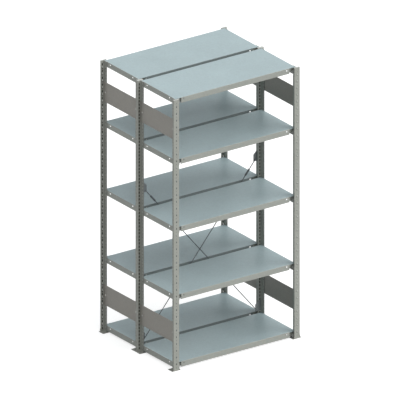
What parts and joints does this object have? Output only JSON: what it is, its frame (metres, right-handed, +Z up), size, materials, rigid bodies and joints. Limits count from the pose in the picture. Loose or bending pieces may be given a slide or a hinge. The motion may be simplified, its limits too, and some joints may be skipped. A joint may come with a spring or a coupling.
{
  "type": "library shelving",
  "caption": "Double sided library shelving: back-to-back racks of clip-in steel shelves on slotted T-posts, with end panels and a crossed tie-rod brace in the middle.",
  "frame": {"origin": "on the floor, at the middle of the footprint of the feet", "axes": "+X along the aisle to the right, +Y from the front aisle to the rear aisle, +Z up"},
  "size_m": [1.073, 0.876, 2.003],
  "materials": {
    "post_steel": "galvanised, roll formed",
    "shelf_steel": "galvanised sheet",
    "panel_steel": "galvanised sheet",
    "clip_steel": "zinc plated, pressed",
    "brace_steel": "zinc plated",
    "fastener_steel": "zinc plated",
    "cap_plastic": "moulded, light grey",
    "foot_steel": "galvanised plate"
  },
  "bodies": {
    "root": {"brace_bracket_lower_left": "brace_steel", "brace_bracket_lower_right": "brace_steel", "brace_bracket_upper_left": "brace_steel", "brace_bracket_upper_right": "brace_steel", "brace_hook_rod_a": "brace_steel", "brace_hook_rod_b": "brace_steel", "brace_long_rod_a": "brace_steel", "brace_long_rod_b": "brace_steel", "cap_front_left_aisle": "cap_plastic", "cap_front_left_inner": "cap_plastic", "cap_front_right_aisle": "cap_plastic", "cap_front_right_inner": "cap_plastic", "cap_rear_left_aisle": "cap_plastic", "cap_rear_left_inner": "cap_plastic", "cap_rear_right_aisle": "cap_plastic", "cap_rear_right_inner": "cap_plastic", "clips_level_1": "clip_steel", "clips_level_2": "clip_steel", "clips_level_3": "clip_steel", "clips_level_4": "clip_steel", "clips_level_5": "clip_steel", "foot_front_left_aisle": "foot_steel", "foot_front_left_inner": "foot_steel", "foot_front_right_aisle": "foot_steel", "foot_front_right_inner": "foot_steel", "foot_rear_left_aisle": "foot_steel", "foot_rear_left_inner": "foot_steel", "foot_rear_right_aisle": "foot_steel", "foot_rear_right_inner": "foot_steel", "panel_bolts_left": "fastener_steel", "panel_bolts_right": "fastener_steel", "panel_front_left_lower": "panel_steel", "panel_front_left_upper": "panel_steel", "panel_front_right_lower": "panel_steel", "panel_front_right_upper": "panel_steel", "panel_rear_left_lower": "panel_steel", "panel_rear_left_upper": "panel_steel", "panel_rear_right_lower": "panel_steel", "panel_rear_right_upper": "panel_steel", "post_front_left_aisle": "post_steel", "post_front_left_inner": "post_steel", "post_front_right_aisle": "post_steel", "post_front_right_inner": "post_steel", "post_rear_left_aisle": "post_steel", "post_rear_left_inner": "post_steel", "post_rear_right_aisle": "post_steel", "post_rear_right_inner": "post_steel"},
    "front_shelf_1": {"shelf_front_1": "shelf_steel"},
    "front_shelf_2": {"shelf_front_2": "shelf_steel"},
    "front_shelf_3": {"shelf_front_3": "shelf_steel"},
    "front_shelf_4": {"shelf_front_4": "shelf_steel"},
    "front_shelf_5": {"shelf_front_5": "shelf_steel"},
    "rear_shelf_1": {"shelf_rear_1": "shelf_steel"},
    "rear_shelf_2": {"shelf_rear_2": "shelf_steel"},
    "rear_shelf_3": {"shelf_rear_3": "shelf_steel"},
    "rear_shelf_4": {"shelf_rear_4": "shelf_steel"},
    "rear_shelf_5": {"shelf_rear_5": "shelf_steel"},
    "turnbuckle_a": {"brace_turnbuckle_a": "brace_steel"},
    "turnbuckle_b": {"brace_turnbuckle_b": "brace_steel"}
  },
  "joints": [
    {"name": "lift_front_1", "type": "slide", "parent": "root", "child": "front_shelf_1", "axis": [0, 0, 1], "range_m": [0, 0.06]},
    {"name": "lift_front_2", "type": "slide", "parent": "root", "child": "front_shelf_2", "axis": [0, 0, 1], "range_m": [0, 0.06]},
    {"name": "lift_front_3", "type": "slide", "parent": "root", "child": "front_shelf_3", "axis": [0, 0, 1], "range_m": [0, 0.06]},
    {"name": "lift_front_4", "type": "slide", "parent": "root", "child": "front_shelf_4", "axis": [0, 0, 1], "range_m": [0, 0.06]},
    {"name": "lift_front_5", "type": "slide", "parent": "root", "child": "front_shelf_5", "axis": [0, 0, 1], "range_m": [0, 0.06]},
    {"name": "lift_rear_1", "type": "slide", "parent": "root", "child": "rear_shelf_1", "axis": [0, 0, 1], "range_m": [0, 0.06]},
    {"name": "lift_rear_2", "type": "slide", "parent": "root", "child": "rear_shelf_2", "axis": [0, 0, 1], "range_m": [0, 0.06]},
    {"name": "lift_rear_3", "type": "slide", "parent": "root", "child": "rear_shelf_3", "axis": [0, 0, 1], "range_m": [0, 0.06]},
    {"name": "lift_rear_4", "type": "slide", "parent": "root", "child": "rear_shelf_4", "axis": [0, 0, 1], "range_m": [0, 0.06]},
    {"name": "lift_rear_5", "type": "slide", "parent": "root", "child": "rear_shelf_5", "axis": [0, 0, 1], "range_m": [0, 0.06]},
    {"name": "turnbuckle_a_turn", "type": "hinge", "parent": "root", "child": "turnbuckle_a", "pos_m": [-0.39598, -0.004, 1.10294], "axis": [0.642, 0, -0.7667], "continuous": true},
    {"name": "turnbuckle_b_turn", "type": "hinge", "parent": "root", "child": "turnbuckle_b", "pos_m": [0.39598, 0.004, 1.10294], "axis": [-0.642, 0, -0.7667], "continuous": true}
  ]
}
